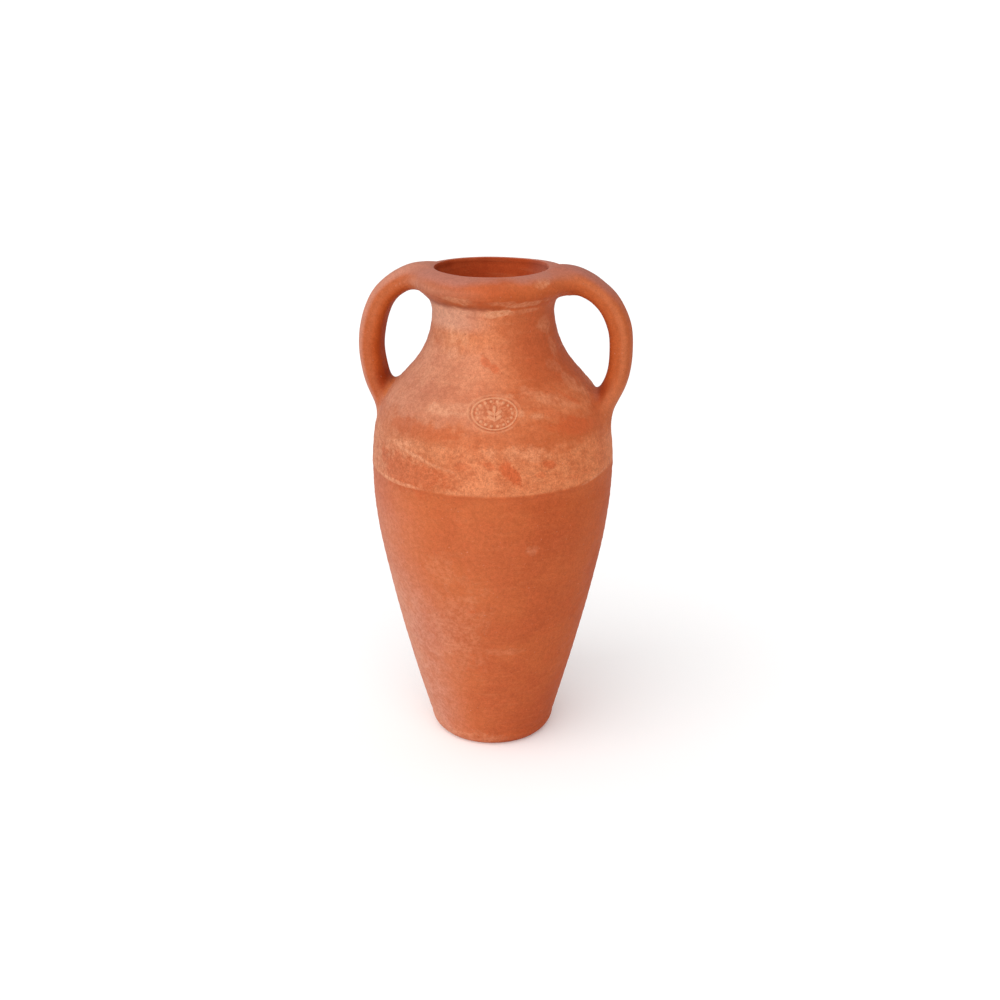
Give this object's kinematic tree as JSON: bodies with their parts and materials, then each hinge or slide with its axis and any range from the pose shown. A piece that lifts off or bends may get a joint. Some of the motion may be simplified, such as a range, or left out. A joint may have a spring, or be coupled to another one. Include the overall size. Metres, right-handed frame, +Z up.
{
  "type": "amphora",
  "caption": "Terracotta amphora with a rolled rim, a short neck, strap handles from rim to shoulder and a body that tapers to a flat foot.",
  "frame": {"origin": "centre of the foot, on the surface the vessel stands on and on the axis of the wall", "axes": "+Z up along the vessel's axis, X through both handles, with the longer-reaching one at +X"},
  "size_m": [0.2782, 0.2454, 0.5],
  "materials": {
    "terracotta_body": "matte",
    "terracotta_shoulder": "matte",
    "terracotta_neck": "matte",
    "terracotta_rim": "matte",
    "terracotta_foot": "matte",
    "terracotta_handle": "matte",
    "luting_clay": "matte",
    "inside_clay": "matte"
  },
  "bodies": {
    "root": {"lower_wall": "terracotta_body", "shoulder": "terracotta_shoulder", "neck": "terracotta_neck", "rim": "terracotta_rim", "base_slab": "terracotta_foot", "handle_left": "terracotta_handle", "handle_right": "terracotta_handle", "handle_left_head_wad": "luting_clay", "handle_left_foot_wad": "luting_clay", "handle_right_head_wad": "luting_clay", "handle_right_foot_wad": "luting_clay", "belly_seam_coil": "inside_clay", "neck_seam_coil": "inside_clay", "base_seam_coil": "inside_clay"}
  },
  "joints": []
}
